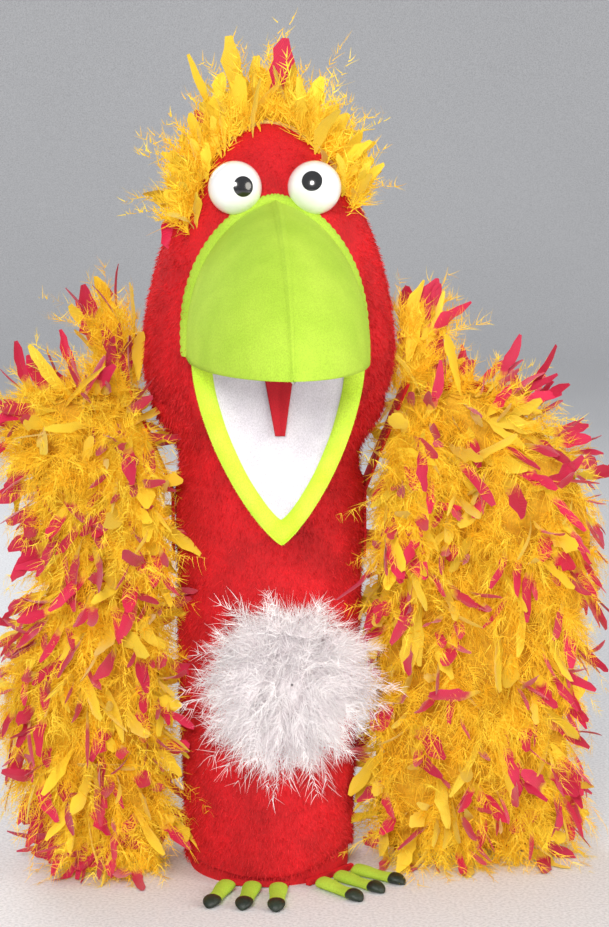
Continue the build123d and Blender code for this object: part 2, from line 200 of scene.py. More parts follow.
def grid_object(name, points, material, wrap=False, flip=False):
    """A surface from a (rows, columns, 3) array of points."""
    rows, columns = points.shape[:2]
    faces = grid_faces(rows, columns, wrap)
    if flip:
        faces = faces[:, ::-1]
    return mesh_object(name, points.reshape(-1, 3), faces, material)


def thicken(obj, thickness):
    solid = obj.modifiers.new("thickness", "SOLIDIFY")
    solid.thickness = thickness
    solid.offset = -1
    return obj


def unit(vectors):
    return vectors / np.maximum(np.linalg.norm(vectors, axis=-1, keepdims=True), 1e-9)


def point_attribute(obj, name, values):
    obj.data.attributes.new(name, "FLOAT", "POINT").data.foreach_set(
        "value", np.asarray(values, np.float32).ravel())


def surface_samples(obj, count, rng, keep=None):
    """Points spread evenly over a mesh, with the surface's normal at each; keep(points, normals) filters."""
    mesh = obj.data
    mesh.calc_loop_triangles()
    triangles = np.empty(len(mesh.loop_triangles) * 3, np.int32)
    mesh.loop_triangles.foreach_get("vertices", triangles)
    places = np.empty(len(mesh.vertices) * 3)
    mesh.vertices.foreach_get("co", places)
    corners = places.reshape(-1, 3)[triangles.reshape(-1, 3)]
    cross = np.cross(corners[:, 1] - corners[:, 0], corners[:, 2] - corners[:, 0])
    if keep is not None:
        kept = keep(corners.mean(1), unit(cross))
        corners, cross = corners[kept], cross[kept]
    area = np.linalg.norm(cross, axis=1)
    pick = rng.choice(len(area), count, p=area / area.sum())
    u, v = rng.random((2, count))
    over = u + v > 1
    u[over], v[over] = 1 - u[over], 1 - v[over]
    chosen = corners[pick]
    corner, side_u, side_v = chosen[:, 0], chosen[:, 1] - chosen[:, 0], chosen[:, 2] - chosen[:, 0]
    points = corner + u[:, None] * side_u + v[:, None] * side_v
    return points, unit(cross[pick])


def ribbons(roots, directions, lengths, widths, bends, segments, rng):
    """Thin tapering strips: point arrays (N, segments + 1, 2, 3) and their quads."""
    t = np.linspace(0, 1, segments + 1)[None, :, None]
    side = unit(np.cross(directions, rng.normal(size=roots.shape)))
    line = roots[:, None] + lengths[:, None, None] * (directions[:, None] * t + bends[:, None] * t**2)
    half = 0.5 * widths[:, None, None] * (1 - 0.85 * t**1.5) * side[:, None]
    points = np.stack([line - half, line + half], 2)
    base = np.arange(len(roots))[:, None] * (segments + 1) * 2 + np.arange(segments)[None] * 2
    quads = np.stack([base, base + 1, base + 3, base + 2], -1).reshape(-1, 4)
    return points, quads


def fuzz(obj, name, count, length, width, lay, material, seed, keep=None, spread=0.4, rise=0.55):
    """Short pile over a surface: each hair leans along lay, stands up by rise and strays by spread."""
    rng = np.random.default_rng(SEED + seed)
    points, normals = surface_samples(obj, count, rng, keep)
    directions = unit(rise * normals + np.array(lay) + spread * rng.normal(size=points.shape))
    lengths = length * rng.uniform(0.6, 1.2, count)
    bends = 0.25 * np.array([0, 0, -1.0]) * np.ones((count, 1))
    widths = width * rng.uniform(0.7, 1.3, count)
    strips, quads = ribbons(points - 0.3 * length * normals, directions, lengths, widths, bends, 2, rng)
    pile = mesh_object(name, strips, quads, material)
    point_attribute(pile, "shade", np.repeat(rng.random(count), 6))
    return pile


def felt_fuzz(obj, name, count, material, seed, length=FELT_HAIR[0], width=FELT_HAIR[1]):
    """The short loose fibres that stand off felt every way."""
    return fuzz(obj, name, count, length, width, (0, 0, 0), material, seed, None, 0.9, 0.5)


# ---------------------------------------------------------------- materials

def new_material(name, roughness=0.8, sheen=0.0, coat=0.0):
    material = bpy.data.materials.new(name)
    material.use_nodes = True
    tree = material.node_tree
    shader = tree.nodes["Principled BSDF"]
    shader.inputs["Roughness"].default_value = roughness
    shader.inputs["Sheen Weight"].default_value = sheen
    shader.inputs["Sheen Roughness"].default_value = 0.45
    shader.inputs["Coat Weight"].default_value = coat
    return material, tree, shader


def link(tree, source, target):
    tree.links.new(source, target)


def noise(tree, scale, detail=3.0, stretch=(1, 1, 1)):
    """Noise in the object's own metres: scale is in cycles a metre."""
    coordinates = tree.nodes.new("ShaderNodeTexCoord")
    mapping = tree.nodes.new("ShaderNodeMapping")
    mapping.inputs["Scale"].default_value = stretch
    texture = tree.nodes.new("ShaderNodeTexNoise")
    texture.inputs["Scale"].default_value = scale
    texture.inputs["Detail"].default_value = detail
    link(tree, coordinates.outputs["Object"], mapping.inputs["Vector"])
    link(tree, mapping.outputs["Vector"], texture.inputs["Vector"])
    return texture.outputs["Fac"]


def ramp(tree, factor, stops):
    """A colour ramp from (position, (r, g, b)) stops."""
    node = tree.nodes.new("ShaderNodeValToRGB")
    elements = node.color_ramp.elements
    while len(elements) < len(stops):
        elements.new(0.5)
    for element, (position, colour) in zip(elements, stops):
        element.position = position
        element.color = (*colour, 1)
    link(tree, factor, node.inputs["Fac"])
    return node.outputs["Color"]


def multiply(tree, colour_a, colour_b, factor=1.0):
    node = tree.nodes.new("ShaderNodeMix")
    node.data_type = "RGBA"
    node.blend_type = "MULTIPLY"
    node.inputs["Factor"].default_value = factor
    link(tree, colour_a, node.inputs["A"])
    link(tree, colour_b, node.inputs["B"])
    return node.outputs["Result"]


def attribute(tree, name):
    node = tree.nodes.new("ShaderNodeAttribute")
    node.attribute_name = name
    return node.outputs["Fac"]


def calculate(tree, operation, a, b=None, c=None):
    node = tree.nodes.new("ShaderNodeMath")
    node.operation = operation
    for socket, value in zip(node.inputs, (a, b, c)):
        if value is None:
            continue
        if isinstance(value, (int, float)):
            socket.default_value = value
        else:
            link(tree, value, socket)
    return node.outputs["Value"]


def bump(tree, shader, height, strength, distance):
    node = tree.nodes.new("ShaderNodeBump")
    node.inputs["Strength"].default_value = strength
    node.inputs["Distance"].default_value = distance
    link(tree, height, node.inputs["Height"])
    link(tree, node.outputs["Normal"], shader.inputs["Normal"])


def cloth_material(name, dark, light, fine=1400, patch=45, sheen=0.3, relief=0.5, roughness=0.85):
    """Felt, plush or woven cloth: fine fibre noise in height and tone, and broad soft patches."""
    material, tree, shader = new_material(name, roughness, sheen)
    shader.inputs["Sheen Tint"].default_value = (*light, 1)
    patches = ramp(tree, noise(tree, patch, 2), [(0.3, dark), (0.7, light)])
    fibre = noise(tree, fine, 6, (1, 1, 0.55))
    tone = ramp(tree, fibre, [(0.3, (0.74, 0.74, 0.74)), (0.62, (1, 1, 1))])
    link(tree, multiply(tree, patches, tone), shader.inputs["Base Color"])
    bump(tree, shader, fibre, relief, 0.6 * MM)
    return material


def pile_material(name, dark, light, sheen=0.5, glow=0.0):
    """Hairs whose tone follows their own random shade; glow stands in for light passing through down."""
    material, tree, shader = new_material(name, 0.75, sheen)
    shader.inputs["Sheen Tint"].default_value = (*light, 1)
    shade = ramp(tree, attribute(tree, "shade"), [(0.0, dark), (1.0, light)])
    patches = ramp(tree, noise(tree, 38, 2), [(0.3, (0.8, 0.8, 0.8)), (0.7, (1, 1, 1))])
    toned = multiply(tree, shade, patches)
    link(tree, toned, shader.inputs["Base Color"])
    link(tree, toned, shader.inputs["Emission Color"])
    shader.inputs["Emission Strength"].default_value = glow
    return material


def feather_material(name, gold, dye):
    """A vane dyed at its tip: barbs run out from the quill, and the dye line wanders."""
    material, tree, shader = new_material(name, 0.6, 0.25)
    shade = ramp(tree, attribute(tree, "shade"), [(0.0, (0.72, 0.7, 0.66)), (1.0, (1, 1, 1))])
    ragged = calculate(tree, "MULTIPLY_ADD", noise(tree, 260, 2), 0.3, attribute(tree, "dye"))
    dyed = ramp(tree, ragged, [(0.46, gold), (0.62, dye)])
    across = calculate(tree, "ABSOLUTE", attribute(tree, "across"))
    slant = calculate(tree, "MULTIPLY_ADD", across, -0.18, attribute(tree, "along"))
    barbs = calculate(tree, "SINE", calculate(tree, "MULTIPLY", slant, 190.0))
    barb_tone = ramp(tree, calculate(tree, "MULTIPLY_ADD", barbs, 0.5, 0.5),
                     [(0, (0.8, 0.8, 0.8)), (1, (1, 1, 1))])
    toned = multiply(tree, multiply(tree, dyed, shade), barb_tone)
    link(tree, toned, shader.inputs["Base Color"])
    # The vane's own colour also drives a faint emission: painted light, standing in for light that passes
    # through the thin vanes.
    link(tree, toned, shader.inputs["Emission Color"])
    shader.inputs["Emission Strength"].default_value = 0.14
    bump(tree, shader, barbs, 0.35, 0.3 * MM)
    return material


def gloss_material(name, dark, light, roughness, coat):
    material, tree, shader = new_material(name, roughness, 0.0, coat)
    shader.inputs["Coat Roughness"].default_value = 0.04
    link(tree, ramp(tree, noise(tree, 60, 2), [(0.3, dark), (0.7, light)]), shader.inputs["Base Color"])
    bump(tree, shader, noise(tree, 90, 1), 0.03, 0.2 * MM)
    return material


def floor_material():
    return cloth_material("studio_floor", (0.80, 0.80, 0.81), (0.83, 0.83, 0.84), 400, 2, 0.0, 0.02, 0.9)


RED_PLUSH = cloth_material("red_plush", (0.50, 0.002, 0.006), (0.72, 0.004, 0.012), 900, 38, 0.5, 0.8)
RED_PILE = pile_material("red_pile", (0.52, 0.002, 0.006), (0.86, 0.012, 0.02))
LIME_FELT = cloth_material("lime_felt", (0.40, 0.62, 0.035), (0.50, 0.72, 0.055), 1500, 30, 0.25, 0.45)
LIME_PILE = pile_material("lime_pile", (0.42, 0.62, 0.04), (0.62, 0.82, 0.10), 0.3)
NEON_FELT = cloth_material("neon_felt", (0.60, 0.90, 0.03), (0.72, 1.0, 0.07), 1500, 40, 0.25, 0.45)
NEON_PILE = pile_material("neon_pile", (0.58, 0.88, 0.04), (0.80, 1.0, 0.16), 0.3)
WHITE_FELT = cloth_material("white_felt", (0.70, 0.66, 0.72), (0.83, 0.80, 0.84), 1500, 40, 0.2, 0.4)
WHITE_PILE = pile_material("white_pile", (0.70, 0.66, 0.72), (0.88, 0.85, 0.88), 0.2)
TONGUE_FELT = cloth_material("tongue_felt", (0.50, 0.003, 0.012), (0.62, 0.006, 0.02), 1500, 40, 0.3, 0.4)
WHITE_DOWN = pile_material("white_down", (0.84, 0.77, 0.79), (0.98, 0.95, 0.95), 0.2, 0.10)
GOLD_DOWN = pile_material("gold_down", (0.90, 0.50, 0.008), (1.0, 0.76, 0.05), 0.2, 0.16)
GOLD_CORE = cloth_material("gold_core", (0.62, 0.30, 0.006), (0.88, 0.52, 0.02), 700, 60, 0.2, 1.0)
WHITE_CORE = cloth_material("white_core", (0.75, 0.68, 0.70), (0.88, 0.83, 0.84), 700, 60, 0.2, 0.8)
FEATHER = feather_material("gold_feather", (1.0, 0.70, 0.03), (0.70, 0.010, 0.075))
FOAM = cloth_material("foam", (0.72, 0.68, 0.52), (0.82, 0.78, 0.62), 1100, 50, 0.0, 0.9)
LINING = cloth_material("lining_cloth", (0.36, 0.01, 0.015), (0.45, 0.015, 0.02), 1800, 60, 0.1, 0.4)
BOARD = cloth_material("mouth_board", (0.62, 0.61, 0.58), (0.72, 0.71, 0.68), 700, 30, 0.0, 0.15, 0.6)
ELASTIC = cloth_material("elastic", (0.02, 0.02, 0.02), (0.05, 0.05, 0.05), 2200, 60, 0.1, 0.6)
CORD = cloth_material("cord", (0.60, 0.42, 0.10), (0.78, 0.58, 0.18), 1600, 90, 0.1, 0.7)
EYE_WHITE = gloss_material("eye_white", (0.86, 0.86, 0.87), (0.92, 0.92, 0.93), 0.18, 1.0)
EYE_BLACK = gloss_material("eye_black", (0.004, 0.004, 0.005), (0.012, 0.012, 0.014), 0.2, 1.0)
CLAW_PAINT = cloth_material("claw_paint", (0.004, 0.010, 0.005), (0.02, 0.035, 0.018), 900, 120, 0.0, 0.6,
                            0.45)


# ---------------------------------------------------------------- shapes shared with the frame

def body_radius(z):
    return BODY_R_BASE + (BODY_R_TOP - BODY_R_BASE) * z / BODY_TOP


def head_radius(u):
    """The head's radius at height u above the nod pivot, measured along its leaning axis."""
    widest, crown = HEAD_RIM + HEAD_WIDEST, HEAD_RIM + HEAD_HEIGHT
    low = np.clip((widest - u) / HEAD_WIDEST, 0, None)
    high = np.clip((u - widest) / (crown - widest), 0, 1)
    lower = HEAD_RADIUS - (HEAD_RADIUS - HEAD_RIM_R) * low**2.4
    upper = HEAD_RADIUS * (1 - high**1.6) ** (1 / 1.9)
    return np.where(u < widest, lower, upper)


def lean(points):
    """From the head's own upright frame, centred on the pivot, to the puppet's."""
    c, s = math.cos(HEAD_LEAN), math.sin(HEAD_LEAN)
    x, y, z = points[..., 0], points[..., 1], points[..., 2]
    return np.stack([x, y * c - z * s, y * s + z * c], -1) + PIVOT


def head_front(x, z):
    """Y of the head's front surface at a place seen from the front."""
    u = (z - PIVOT[2]) / math.cos(HEAD_LEAN)
    for _ in range(4):
        r = np.maximum(head_radius(u), np.abs(x) + 1e-5)
        y = -np.sqrt(r**2 - x**2)
        u = (z - PIVOT[2] - y * math.sin(HEAD_LEAN)) / math.cos(HEAD_LEAN)
    return y * math.cos(HEAD_LEAN) - u * math.sin(HEAD_LEAN)


def superellipse(turn, power=2.5):
    c, s = np.cos(turn), np.sin(turn)
    return np.sign(c) * np.abs(c) ** (2 / power), np.abs(s) ** (2 / power)


def beak_section(turn):
    """The upper beak's cross-section: straight-sided below and drawn to a soft ridge on top."""
    up = np.sin(turn)
    return np.sign(np.cos(turn)) * np.clip(1 - up**2.3, 0, 1) ** 0.62, up


def beak_width(y):
    forward = np.clip((BEAK_SHOULDER_Y - y) / BEAK_LENGTH, 0, 1)
    return BEAK_HALF_WIDTH * np.sqrt(1 - forward**2)


def beak_height(y):
    forward = np.clip((BEAK_CROWN_Y - y) / BEAK_REACH, 0, 1)
    return BEAK_HEIGHT * (1 - forward**1.6) ** (1 / 1.6)


def jaw_width(s, half_width=JAW_HALF_WIDTH, length=JAW_LENGTH):
    return half_width * (1 - np.clip(s / length, 0, 1) ** 1.6) ** 0.8


def jaw_depth(s):
    return JAW_DEPTH * np.sqrt(1 - np.clip(s / JAW_LENGTH, 0, 1) ** 2.2)


def hang(points):
    """From the level lower beak's frame, with its root on the hinge, to where it hangs."""
    c, s = math.cos(JAW_ANGLE), math.sin(JAW_ANGLE)
    x, y, z = points[..., 0], points[..., 1], points[..., 2]
    return np.stack([x, y * c - z * s, y * s + z * c], -1) + HINGE


# ---------------------------------------------------------------- body and neck

def hem_height(turn):
    """The lower edge of the plush, which rides up over the right foot; turn 0 is the front."""
    angle = np.degrees((turn + np.pi) % (2 * np.pi) - np.pi)
    right = 17 * MM * np.exp(-(((angle - 62) / 34) ** 2))
    left = 4 * MM * np.exp(-(((angle + 60) / 40) ** 2))
    return 6.5 * MM + right + left + 0.6 * MM * np.sin(5 * turn)


def sleeve_folds(turn, z):
    """Shallow hang folds of the plush tube."""
    folds = (0.9 * np.sin(3 * turn + 14 * z) + 0.7 * np.sin(5 * turn - 22 * z + 1)
             + 0.5 * np.sin(2 * turn + 30 * z))
    return folds * MM


def tube_points(levels, turns):
    """A tube from (radius(turn), height(turn)) pairs, front at turn 0."""
    rows = []
    for radius, height in levels:
        rows.append(np.stack([radius * np.sin(turns), -radius * np.cos(turns), height], -1))
    return np.array(rows)


def make_body():
    turns = np.linspace(0, 2 * np.pi, 160, endpoint=False)
    flat = np.ones_like(turns)
    hem = hem_height(turns)
    inner = (body_radius(0) - 2.3 * MM) * flat
    levels = [(inner, hem + 12 * MM), (inner, hem + 1 * MM), (inner + 1.2 * MM, hem)]
    for share in np.linspace(0, 1, 70):
        z = hem + 0.8 * MM + (TWIST_LOW - hem) * share
        levels.append((body_radius(z) + sleeve_folds(turns, z), z))
    cover = grid_object("body_plush", tube_points(levels, turns), RED_PLUSH, wrap=True)
    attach(cover, "body")
    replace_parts(cover, "body_cover")
    outward = lambda points, normals: np.einsum("ij,ij->i", points[:, :2], normals[:, :2]) > 0
    pile = fuzz(cover, "body_pile", 60000, *PLUSH_HAIR, (0, 0, -0.7), RED_PILE, 1, outward)
    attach(pile, "body")

    levels = []
    for share in np.linspace(0, 1, 30):
        z = TWIST_LOW - 2 * MM + (BODY_TOP - TWIST_LOW) * share
        levels.append((body_radius(z) + sleeve_folds(turns, z) + 0.25 * MM, z * flat))
    for drop, rise in ((1.5, 2.0), (4.0, 3.0), (7.0, 1.5)):
        levels.append(((BODY_R_TOP - drop * MM) * flat, (BODY_TOP + rise * MM) * flat))
    gather = grid_object("shoulder_plush", tube_points(levels, turns), RED_PLUSH, wrap=True)
    gather_pile = fuzz(gather, "shoulder_pile", 18000, *PLUSH_HAIR, (0, 0, -0.7), RED_PILE, 2, outward)
    for piece in (gather, gather_pile):
        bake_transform(piece)

    levels = []
    for radius, height in smooth_outline(NECK_OUTLINE, 26):
        ahead = np.clip(np.cos(turns), 0, 1) ** 3
        back_in = np.clip((height - 340) / 38, 0, 1) * 12 * ahead
        levels.append(((radius - back_in) * MM + sleeve_folds(turns, height * MM) * 0.6, height * MM * flat))
    skin = grid_object("neck_plush", tube_points(levels, turns), RED_PLUSH, wrap=True)
    skin.location.y = -3 * MM
    bpy.context.view_layer.update()
    skin.data.transform(skin.matrix_world)
    skin.location.y = 0
    skin_pile = fuzz(skin, "neck_pile", 16000, *PLUSH_HAIR, (0, 0, -0.7), RED_PILE, 3, outward)
    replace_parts(skin, "neck_cover")
    for piece in (skin, skin_pile):
        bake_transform(piece)


def smooth_outline(points, count):
    """More points along an outline, by a Catmull-Rom curve through the given ones."""
    points = np.array(points, float)
    padded = np.vstack([2 * points[0] - points[1], points, 2 * points[-1] - points[-2]])
    found = []
    for place in np.linspace(0, len(points) - 1 - 1e-9, count):
        index, t = int(place), place % 1
        p0, p1, p2, p3 = padded[index:index + 4]
        found.append(0.5 * (2 * p1 + (p2 - p0) * t + (2 * p0 - 5 * p1 + 4 * p2 - p3) * t**2
                            + (3 * p1 - p0 - 3 * p2 + p3) * t**3))
    return np.array(found)


# ---------------------------------------------------------------- head

def make_head():
    turns = np.linspace(0, 2 * np.pi, 200, endpoint=False)
    rows = []
    crown = HEAD_RIM + HEAD_HEIGHT
    for share in np.linspace(0, 1, 120):
        u = HEAD_RIM + 10 * MM + (crown - HEAD_RIM - 10.3 * MM) * math.sin(share * math.pi / 2)
        r = head_radius(np.array(u)) + 0.8 * MM * np.sin(3 * turns + 20 * u) * (1 - share)
        rows.append(lean(np.stack([r * np.sin(turns), -r * np.cos(turns), np.full_like(turns, u)], -1)))
    points = np.array(rows)
    inside = np.clip((68 * MM - np.abs(points[..., 0])) / (4 * MM), 0, 1)
    below = np.clip((HINGE[2] + 3 * MM - points[..., 2]) / (3 * MM), 0, 1)
    wall = -75 * MM
    pull = inside * below * (points[..., 1] < wall)
    points[..., 1] += (wall - points[..., 1]) * pull
    cover = grid_object("head_plush", points, RED_PLUSH, wrap=True)
    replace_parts(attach(cover, "head"), "head_cover")

    def open_plush(places, normals):
        under_beak = (np.abs(places[:, 0]) < 62 * MM) & (places[:, 1] < -40 * MM) & (
            places[:, 2] < MOUTH_FLOOR + 100 * MM)
        return ~under_beak

    pile = fuzz(cover, "head_pile", 66000, 5.0 * MM, 0.7 * MM, (0, 0, -0.6), RED_PILE, 4, open_plush)
    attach(pile, "head")


def make_upper_beak():
    even = np.linspace(-1, 1, 161)
    across = (np.pi / 2) * (1 + 0.3 * even + 0.7 * even**3)
    forward = np.sin(np.linspace(0, 1, 70) * math.pi / 2)
    root = [-62 * MM, -72 * MM, -82 * MM, -91 * MM]
    stations = np.concatenate([root, BEAK_SHOULDER_Y - BEAK_LENGTH * forward])
    c, s = beak_section(across)
    rows = []
    for y in stations:
        width, height = max(beak_width(y), 0.6 * MM), max(beak_height(y), 0.6 * MM)
        tuck = 1 - 0.02 * (1 - s) ** 2
        rows.append(np.stack([c * width * tuck, np.full_like(c, y), MOUTH_FLOOR + s * height], -1))
    points = np.array(rows)
    outward = grid_normals(points)
    outward = outward * np.sign((outward * (points - np.array([0, -0.09, 0.43]))).sum(-1, keepdims=True))
    points += outward * (1.2 * MM * np.exp(-((points[..., :1] / (1.9 * MM)) ** 2)))
    waves = 0.5 * MM * np.sin(points[..., 0:1] * 90 + 2) * np.sin(points[..., 1:2] * 70)
    soft = waves * np.array([0, 0, 1.0])
    points += soft * np.sin(across)[None, :, None]
    padding = grid_object("beak_padding", points - outward * 3.2 * MM, FOAM)
    thicken(padding, 3 * MM)
    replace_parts(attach(padding, "head"), "beak_foam")
    middle = len(across) // 2
    seam = (points + outward * 0.35 * MM)[:, middle - 14:middle + 15]
    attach(grid_object("beak_seam", seam, LIME_FELT), "head")
    for name, node, columns in (("right_beak", "right_beak_felt", slice(0, middle + 1)),
                                ("left_beak", "left_beak_felt", slice(middle, None))):
        felt = grid_object(name, points[:, columns], LIME_FELT)
        thicken(felt, FELT_THICKNESS)
        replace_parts(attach(felt, "head"), node)
        pile = felt_fuzz(felt, f"{name}_fuzz", 17000, LIME_PILE, 5)
        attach(pile, "head")
    make_flange()


def grid_normals(points):
    """A unit normal at each point of a (rows, columns, 3) grid."""
    return unit(np.cross(np.gradient(points, axis=0), np.gradient(points, axis=1)))


def make_flange():
    """The felt band that is glued round the beak's root, with a pinked outer edge."""
    across = np.linspace(0, np.pi, 361)
    c, s = beak_section(across)
    teeth = 0.9 * MM * np.abs(np.sin(across * 55))
    rows = []
    for outset, raise_off in ((-1.5, 1.5), (0.0, 2.6), (2.0, 2.8), (4.0, 2.6), (5.4, 1.8), (5.6, 0.2)):
        edge = teeth if outset > 5 else 0
        x = c * (BEAK_HALF_WIDTH + outset * MM + edge) * (1 - 0.05 * (1 - s) ** 2)
        z = MOUTH_FLOOR + s * (BEAK_HEIGHT + outset * MM + edge)
        rows.append(np.stack([x, head_front(x, z) - raise_off * MM, z], -1))
    band = grid_object("beak_band", np.array(rows), LIME_FELT, flip=True)
    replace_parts(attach(band, "head"), "beak_flange")


# ---------------------------------------------------------------- lower beak

def make_jaw():
    half = np.linspace(0, 1, 45)
    k = np.concatenate([half, half[-2::-1]]) * math.pi / 2
    sign = np.concatenate([np.ones(len(half)), -np.ones(len(half) - 1)])
    outer_s, inner_s = JAW_LENGTH * np.sin(k), (JAW_LENGTH - RIM_TIP_WIDTH) * np.sin(k)
    inner_half = JAW_HALF_WIDTH - RIM_WIDTH
    outer = np.stack([sign * jaw_width(outer_s), -outer_s], -1)
    inner = np.stack([sign * jaw_width(inner_s, inner_half, JAW_LENGTH - RIM_TIP_WIDTH), -inner_s], -1)
    rows = []
    for turn in np.linspace(0, 2 * np.pi, 20, endpoint=False):
        flat = (outer + inner) / 2 + (outer - inner) / 2 * math.cos(turn)
        height = -3.2 * MM + 4.2 * MM * math.sin(turn) + 0.25 * MM * np.sin(outer_s * 180)
        rows.append(np.concatenate([flat, height[:, None]], 1))
    rows.append(rows[0])
    rim = grid_object("jaw_rim_roll", hang(np.array(rows)), NEON_FELT, flip=True)
    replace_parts(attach(rim, "jaw"), "jaw_rim")
    pile = felt_fuzz(rim, "jaw_rim_fuzz", 14000, NEON_PILE, 6)
    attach(pile, "jaw")

    across = np.linspace(0, np.pi, 61)
    c, s = superellipse(across)
    rows = []
    for share in np.linspace(0, 1, 50):
        place = JAW_LENGTH * math.sin(share * math.pi / 2 * 0.995)
        width, depth = jaw_width(place), jaw_depth(place)
        drop = np.minimum(-1.5 * MM, -s * depth)
        rows.append(np.stack([c * width, np.full_like(c, -place), drop], -1))
    shell = grid_object("jaw_shell", hang(np.array(rows)), NEON_FELT, flip=True)
    thicken(shell, FELT_THICKNESS)
    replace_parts(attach(shell, "jaw"), "jaw_cover")
    pile = felt_fuzz(shell, "jaw_shell_fuzz", 12000, NEON_PILE, 7)
    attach(pile, "jaw")

    inner_length = JAW_LENGTH - RIM_TIP_WIDTH
    reach = np.linspace(-1, 1, 41)
    rows = []
    for share in np.linspace(0, 1, 50):
        place = (inner_length + 5 * MM) * math.sin(share * math.pi / 2 * 0.99)
        width = jaw_width(place, inner_half + 3 * MM, inner_length + 5 * MM)
        sag = -2.6 * MM - 0.5 * MM * (1 - reach**2) * math.cos(share * math.pi / 2)
        rows.append(np.stack([reach * width, np.full_like(reach, -place), sag], -1))
    lining = grid_object("lower_lining", hang(np.array(rows)), WHITE_FELT, flip=True)
    thicken(lining, 1.0 * MM)
    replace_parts(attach(lining, "jaw"), "lower_mouth_lining")
    pile = felt_fuzz(lining, "lower_lining_fuzz", 7000, WHITE_PILE, 8, 0.9 * MM, 0.2 * MM)
    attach(pile, "jaw")
    make_tongue()
    make_throat()


def make_tongue():
    """A tapering felt tongue, creased down its middle and lifted a little at its end."""
    rows = []
    for share in np.linspace(0, 1, 30):
        place = 3 * MM + 52 * MM * share
        width = (12 - 8.6 * share) * MM
        reach = np.linspace(-1, 1, 13)
        crease = 0.7 * MM * np.exp(-((reach / 0.25) ** 2))
        height = -1.2 * MM + 2.6 * MM * share**3 - crease + 0.4 * MM * reach**2
        rows.append(np.stack([reach * width, np.full_like(reach, -place), height], -1))
    tongue = grid_object("tongue_strip", hang(np.array(rows)), TONGUE_FELT, flip=True)
    thicken(tongue, 1.4 * MM)
    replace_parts(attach(tongue, "jaw"), "tongue")


def make_throat():
    """The plush gusset that joins the lower beak's back to the head."""
    across = np.linspace(0.12, np.pi - 0.12, 41)
    c, s = superellipse(across)
    rows = []
    for place in np.linspace(-3 * MM, 40 * MM, 34):
        width, depth = jaw_width(max(place, 0)), jaw_depth(max(place, 0)) + 1.2 * MM
        rows.append(np.stack([c * width, np.full_like(c, -place), -s * depth], -1))
    throat = grid_object("throat_plush", hang(np.array(rows)), RED_PLUSH, flip=True)
    thicken(throat, 0.8 * MM)
    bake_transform(throat)


# ---------------------------------------------------------------- eyes

def ball_cap(centre, aim, radius, reach, rows=28, columns=72, bulge=0.0):
    """Part of a ball round aim, out to reach radians, optionally raised towards its middle."""
    aim = unit(np.array(aim, float))
    side = unit(np.cross(aim, [0, 0, 1.0]))
    up = np.cross(side, aim)
    angle = np.linspace(0.002, reach, rows)[:, None]
    turn = np.linspace(0, 2 * np.pi, columns, endpoint=False)[None]
    r = radius + bulge * np.cos(np.clip(angle / reach, 0, 1) * math.pi / 2)
    ring = np.sin(angle)[..., None] * (np.cos(turn)[..., None] * side + np.sin(turn)[..., None] * up)
    return np.array(centre) + r[..., None] * (ring + np.cos(angle)[..., None] * aim)


def make_eyes():
    for name, side, gaze in (("left", -1, (0.27, 0.09)), ("right", 1, (-0.19, 0.30))):
        low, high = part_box(f"{name}_eye_dome")
        outermost = max(low.x * side, high.x * side)
        centre = np.array([side * (outermost - EYE_RADIUS), low.y + EYE_RADIUS, high.z - EYE_RADIUS])
        ball = ball_cap(centre, (0.05 * side, -1, 0.08), EYE_RADIUS, 2.2, 60, 96)
        dome = grid_object(f"{name}_eye_ball", ball, EYE_WHITE, wrap=True)
        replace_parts(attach(dome, "head"), f"{name}_eye_dome")
        across, up = gaze
        aim = (math.sin(across), -math.cos(across), math.tan(up))
        pupil = ball_cap(centre, aim, EYE_RADIUS + 0.25 * MM, 0.385, 20, 72, 0.35 * MM)
        disc = grid_object(f"{name}_eye_pupil", pupil, EYE_BLACK, wrap=True)
        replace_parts(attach(disc, "head"), f"{name}_pupil")


# ---------------------------------------------------------------- feathers

def within_reach(points):
    """Feathers that would stand far out of the frame's box are drawn in smoothly to just past it."""
    points = points.copy()
    for axis, past in enumerate(FEATHER_PAST):
        for sign, edge in ((1, CAD_HIGH[axis] + past), (-1, -CAD_LOW[axis] + past)):
            over = sign * points[..., axis] - (edge - FEATHER_EASE)
            eased = edge - FEATHER_EASE * np.exp(-np.maximum(over, 0) / FEATHER_EASE)
            points[..., axis] = np.where(over > 0, sign * eased, points[..., axis])
    return points


